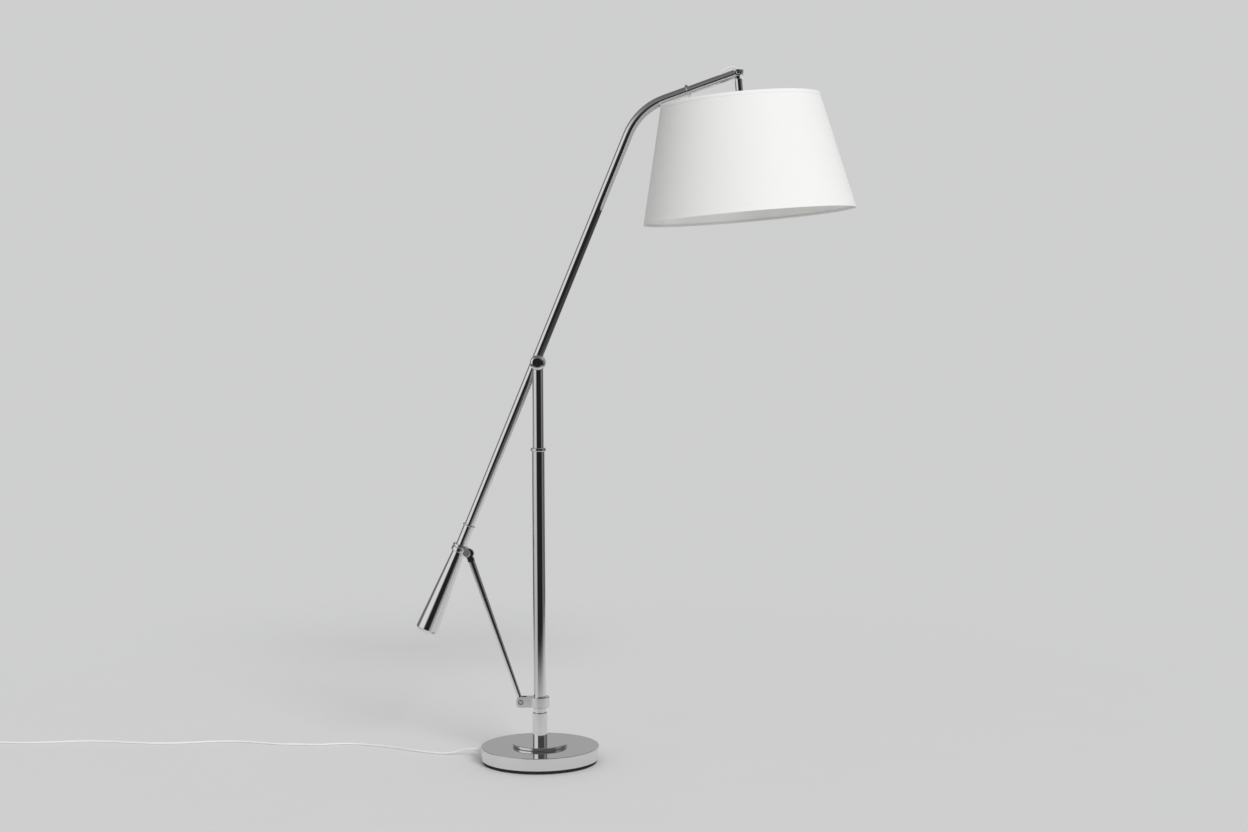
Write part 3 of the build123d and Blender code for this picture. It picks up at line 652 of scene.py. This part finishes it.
def seam_points(rise):
    """Rows of points down the back of the shade, each off the cloth's face by rise(column)."""
    first, second = side_axes(HANG)
    back_turn = math.atan2(BACK.dot(second), BACK.dot(first))
    points = []
    for row in range(SEAM_ROWS + 1):
        share = SEAM_FROM + SEAM_SPAN * row / SEAM_ROWS
        at = SHADE_FROM + SHADE_HEIGHT * share
        for column in range(SEAM_COLUMNS + 1):
            turn = back_turn + SEAM_W * (column / SEAM_COLUMNS - 0.5) / shade_r(share)
            out = first * math.cos(turn) + second * math.sin(turn)
            points.append(TILT_PIN + HANG * at + out * (shade_r(share) + rise(column)))
    return points


def make_seam():
    """The cloth's overlapped, glued join down the back of the shade."""
    outside = seam_points(lambda column: SEAM_RAISED if 0 < column < SEAM_COLUMNS else SEAM_EDGE)
    points = [*outside, *seam_points(lambda column: -SEAM_SUNK)]
    outer_count = len(outside)
    rows, across = SEAM_ROWS, SEAM_COLUMNS
    faces = []
    row_size = across + 1
    for row in range(rows):
        for column in range(across):
            corner = row * row_size + column
            faces.append((corner, corner + 1, corner + row_size + 1, corner + row_size))
            low = corner + outer_count
            faces.append((low, low + row_size, low + row_size + 1, low + 1))
    for row in range(rows):
        left = row * row_size
        right = left + across
        faces.append((left, left + row_size, left + row_size + outer_count, left + outer_count))
        faces.append((right, right + outer_count, right + row_size + outer_count, right + row_size))
    for column in range(across):
        top, bottom = column, rows * row_size + column
        faces.append((top, top + outer_count, top + outer_count + 1, top + 1))
        faces.append((bottom, bottom + 1, bottom + outer_count + 1, bottom + outer_count))
    piece = add_mesh("shade_seam", points, faces, "shade_head")
    sharpen(piece)
    add_cloth_map(piece, TILT_PIN, HANG)
    piece.data.materials.append(MATERIALS["shade_fabric"])
    return piece


def dress_shade():
    cloth, flat, area = make_shade()
    liner = make_liner()
    top_hem = make_hem("shade_top_hem", share=0.0, sign=-1)
    bottom_hem = make_hem("shade_bottom_hem", share=1.0, sign=1)
    seam = make_seam()


# ---------------------------------------------------------------- lampholder, key, knob and pin


def add_lathe(name, outline, origin, axis, body, material, steps=DETAIL_STEPS, ripple=None):
    """A turned detail piece in one material."""
    points, faces = lathe(outline, origin, axis, steps, ripple)
    piece = add_mesh(name, points, faces, body)
    sharpen(piece)
    piece.data.materials.append(MATERIALS[material])
    return piece


def ring_outline(outer, inner, start, end, edge):
    """Outline of a ring with small bevels on its outer edges."""
    return [
        (inner, start),
        (outer - edge, start),
        (outer, start + edge),
        (outer, end - edge),
        (outer - edge, end),
        (inner, end),
    ]


def flutes(depth, count):
    """A ripple that runs rounded flutes round the rim of a ring_outline."""

    def ripple(turn, index):
        return depth * math.cos(count * turn) if index in RIM_POINTS else 0.0

    return ripple


def dress_lampholder():
    """Ribs round the lampholder's tapered skirt, and the grip of its ring nut."""
    outline = []
    for rib in range(HOLDER_RIBS):
        at = HOLDER_RIB_FROM + rib * HOLDER_RIB_PITCH
        skirt = HOLDER_SKIRT_R - HOLDER_TAPER * (at - HOLDER_RIB_FROM)
        for out, along in HOLDER_RIB:
            outline.append((skirt + out, at + along))
    outline.append((outline[-1][0] - HOLDER_RIB_DEPTH, outline[-1][1]))
    outline.append((HOLDER_SKIRT_R - HOLDER_RIB_DEPTH, HOLDER_RIB_FROM))
    add_lathe(
        "holder_ribs", outline, TILT_PIN, HANG, "shade_head", "black_plastic"
    )
    nut = ring_outline(outer=0.0271, inner=0.0255, start=0.1045, end=0.1095, edge=0.0004)
    grip = flutes(depth=0.0005, count=36)
    add_lathe(
        "ring_nut_grip",
        nut,
        TILT_PIN,
        HANG,
        "shade_head",
        "black_plastic",
        steps=360,
        ripple=grip,
    )


def dress_key():
    """Flutes round the switch key, so that a finger can turn it."""
    grip = flutes(depth=0.0004, count=20)
    outline = ring_outline(
        outer=0.0084, inner=0.0072, start=KEY_GRIP_FROM, end=KEY_GRIP_TO, edge=0.0004
    )
    add_lathe(
        "key_grip",
        outline,
        KEY_AT,
        BACK,
        "switch",
        "black_plastic",
        steps=200,
        ripple=grip,
    )


def dress_knob():
    """A knurl on the edge of the tilt knob."""
    low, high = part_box("tilt_knob")
    middle = (Vector(low) + Vector(high)) / 2
    radius = (high[2] - low[2]) / 2
    out = Vector((1, 0, 0))
    knurl = flutes(depth=0.00016, count=32)
    rim = Vector((high[0] - KNOB_RIM_IN, middle.y, middle.z))
    outline = ring_outline(
        outer=radius + 0.0001, inner=radius - 0.0012, start=-0.0006, end=0.0006, edge=0.0002
    )
    add_lathe(
        "knob_knurl", outline, rim, out, "knob", "chrome_cast", steps=320, ripple=knurl
    )


def paint_clevis_shadow():
    """A thin black ring of painted shadow under the clevis pin's head, standing in for the shade in the gap
    between the head and its seat.
    """
    low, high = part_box("clevis_pin")
    head = Vector(((low[0] + high[0]) / 2, low[1] + CLEVIS_SHADOW_IN, (low[2] + high[2]) / 2))
    outline = ring_outline(outer=0.0065, inner=0.0054, start=0.0, end=0.0006, edge=0.0001)
    # Black plastic here is painted shadow: the ring is not a part of the lamp.
    add_lathe(
        "clevis_painted_shadow", outline, head, BACK, "stay_collar_body", "black_plastic"
    )


# ---------------------------------------------------------------- studio

FLOOR_R = 3.4
FLOOR_RINGS = (0.6, 1.2, 1.8, FLOOR_R)
FLOOR_STEPS = 96
FLOOR_Z = -0.0001
FLOOR_MIDDLE = (0.1, 0.75, 0.0)
FLOOR_SOLID = 0.95
FLOOR_GONE = 2.7
BACKDROP = (0.620, 0.622, 0.626)
KEY_STRENGTH = 1.85
KEY_BREADTH = 26
KEY_UP = 30
KEY_ROUND = 28
SOFT_STRENGTH = 0.54


def make_floor():
    """A pale floor that fades into the backdrop's colour around the lamp."""
    steps = FLOOR_STEPS
    points = [(0, 0, FLOOR_Z)]
    for radius in FLOOR_RINGS:
        for step in range(steps):
            turn = 2 * math.pi * step / steps
            points.append((radius * math.cos(turn), radius * math.sin(turn), FLOOR_Z))
    faces = [(0, 1 + step, 1 + (step + 1) % steps) for step in range(steps)]
    for ring in range(len(FLOOR_RINGS) - 1):
        for step in range(steps):
            here = 1 + ring * steps
            after = (step + 1) % steps
            faces.append((here + step, here + steps + step, here + steps + after, here + after))
    mesh = bpy.data.meshes.new("floor")
    mesh.from_pydata(points, [], faces)
    floor = bpy.data.objects.new("floor", mesh)
    bpy.context.scene.collection.objects.link(floor)
    mesh.materials.append(floor_material())


def floor_material():
    material = new_material("pale_floor", color=(0.78, 0.78, 0.785), roughness=0.6)
    material.node_tree.nodes["Principled BSDF"].inputs["Specular IOR Level"].default_value = 0.2
    tint(
        material, noise(material, scale=3.0), dark=(0.776, 0.777, 0.78), light=(0.784, 0.785, 0.789)
    )
    nodes, links = material.node_tree.nodes, material.node_tree.links
    place = nodes.new("ShaderNodeTexCoord")
    length = nodes.new("ShaderNodeVectorMath")
    length.operation = "DISTANCE"
    length.inputs[1].default_value = FLOOR_MIDDLE
    links.new(place.outputs["Object"], length.inputs[0])
    fade = nodes.new("ShaderNodeMapRange")
    fade.interpolation_type = "SMOOTHSTEP"
    fade.inputs["From Min"].default_value = FLOOR_SOLID
    fade.inputs["From Max"].default_value = FLOOR_GONE
    fade.inputs["To Min"].default_value = 1.0
    fade.inputs["To Max"].default_value = 0.0
    links.new(length.outputs["Value"], fade.inputs["Value"])
    links.new(fade.outputs["Result"], nodes["Principled BSDF"].inputs["Alpha"])
    return material


# The studio round the lamp, as azimuths in degrees from the lens side, + to the right, and light levels.
STUDIO_ROUND = (
    (-180, 0.50),
    (-158, 0.46),
    (-146, 0.22),
    (-112, 0.20),
    (-98, 0.36),
    (-90, 1.0),
    (-40, 1.0),
    (-26, 0.026),
    (3, 0.020),
    (12, 0.034),
    (22, 0.026),
    (64, 0.028),
    (76, 0.34),
    (90, 0.34),
    (104, 0.16),
    (134, 0.20),
    (152, 0.48),
    (180, 0.50),
)
# The same for directions below the horizon, past the floor.
STUDIO_LOW = (
    (-180, 0.50),
    (-150, 0.42),
    (-130, 0.05),
    (-40, 0.05),
    (-18, 0.30),
    (24, 0.30),
    (40, 0.07),
    (130, 0.07),
    (152, 0.45),
    (180, 0.50),
)
# How strongly the studio round the lamp shows at each height, in degrees.
STUDIO_GAIN = (
    (-90, 0.40),
    (-12, 0.60),
    (-6, 0.74),
    (0, 0.90),
    (6, 1.0),
    (28, 1.0),
    (46, 0.30),
    (90, 0.12),
)
STUDIO_UP = (
    (-90, 0.02),
    (10, 0.02),
    (19, 0.23),
    (36, 0.25),
    (60, 0.19),
    (90, 0.14),
)
LOW_FROM = math.radians(-11)
LOW_FULL = math.radians(-17)


def level_ramp(nodes, links, angle, stops):
    """A light level that follows an angle in radians through (degrees, level) stops."""
    curve = nodes.new("ShaderNodeFloatCurve")
    line = curve.mapping.curves[0]
    low, high = stops[0][0], stops[-1][0]
    while len(line.points) < len(stops):
        line.points.new(0.5, 0.5)
    for point, (degrees, level) in zip(line.points, stops):
        point.location = ((degrees - low) / (high - low), level)
        point.handle_type = "VECTOR"
    curve.mapping.update()
    share = nodes.new("ShaderNodeMapRange")
    share.inputs["From Min"].default_value = math.radians(low)
    share.inputs["From Max"].default_value = math.radians(high)
    links.new(angle, share.inputs["Value"])
    links.new(share.outputs["Result"], curve.inputs["Value"])
    return curve.outputs["Value"]


def math_node(nodes, links, operation, *values):
    node = nodes.new("ShaderNodeMath")
    node.operation = operation
    for place, value in zip(node.inputs, values):
        if isinstance(value, (int, float)):
            place.default_value = value
        else:
            links.new(value, place)
    return node.outputs["Value"]


def make_world():
    """What the chrome mirrors, an even soft light, and a plain backdrop behind the lamp."""
    world = bpy.data.worlds.new("studio")
    bpy.context.scene.world = world
    world.use_nodes = True
    nodes, links = world.node_tree.nodes, world.node_tree.links
    nodes.clear()
    place = nodes.new("ShaderNodeTexCoord")
    parts = nodes.new("ShaderNodeSeparateXYZ")
    links.new(place.outputs["Generated"], parts.inputs["Vector"])
    towards_lens = math_node(nodes, links, "MULTIPLY", parts.outputs["Y"], -1.0)
    azimuth = math_node(nodes, links, "ARCTAN2", parts.outputs["X"], towards_lens)
    height = math_node(nodes, links, "ARCSINE", parts.outputs["Z"])
    around = math_node(
        nodes,
        links,
        "MULTIPLY",
        level_ramp(nodes, links, azimuth, STUDIO_ROUND),
        level_ramp(nodes, links, height, STUDIO_GAIN),
    )
    below = nodes.new("ShaderNodeMapRange")
    below.inputs["From Min"].default_value = LOW_FROM
    below.inputs["From Max"].default_value = LOW_FULL
    links.new(height, below.inputs["Value"])
    sides = nodes.new("ShaderNodeMix")
    links.new(below.outputs["Result"], sides.inputs["Factor"])
    links.new(around, sides.inputs["A"])
    links.new(level_ramp(nodes, links, azimuth, STUDIO_LOW), sides.inputs["B"])
    level = math_node(
        nodes, links, "MAXIMUM", sides.outputs["Result"], level_ramp(nodes, links, height, STUDIO_UP)
    )
    mirrored = nodes.new("ShaderNodeBackground")
    links.new(level, mirrored.inputs["Strength"])
    soft = nodes.new("ShaderNodeBackground")
    soft.inputs["Color"].default_value = (1.0, 1.0, 1.0, 1)
    soft.inputs["Strength"].default_value = SOFT_STRENGTH
    plain = nodes.new("ShaderNodeBackground")
    plain.inputs["Color"].default_value = (*BACKDROP, 1)
    ray = nodes.new("ShaderNodeLightPath")
    lit = nodes.new("ShaderNodeMixShader")
    links.new(ray.outputs["Is Glossy Ray"], lit.inputs["Fac"])
    links.new(soft.outputs["Background"], lit.inputs[1])
    links.new(mirrored.outputs["Background"], lit.inputs[2])
    seen = nodes.new("ShaderNodeMixShader")
    links.new(ray.outputs["Is Camera Ray"], seen.inputs["Fac"])
    links.new(lit.outputs["Shader"], seen.inputs[1])
    links.new(plain.outputs["Background"], seen.inputs[2])
    output = nodes.new("ShaderNodeOutputWorld")
    links.new(seen.outputs["Shader"], output.inputs["Surface"])


def add_key_light():
    """One broad light from the front right, the same over the whole floor."""
    data = bpy.data.lights.new("key_light", "SUN")
    data.energy = KEY_STRENGTH
    data.angle = math.radians(KEY_BREADTH)
    light = bpy.data.objects.new("key_light", data)
    bpy.context.scene.collection.objects.link(light)
    light.rotation_euler = (math.radians(90 - KEY_UP), 0, math.radians(KEY_ROUND))
    light.visible_glossy = False
    light.visible_camera = False


def make_studio():
    make_floor()
    make_world()
    add_key_light()
    scene = bpy.context.scene
    scene.view_settings.view_transform = "Standard"


make_camera()
make_cord()
finish_cad_nodes()
dress_shade()
dress_lampholder()
dress_key()
dress_knob()
# A black ring of painted shadow under the clevis pin's head.
paint_clevis_shadow()
make_studio()
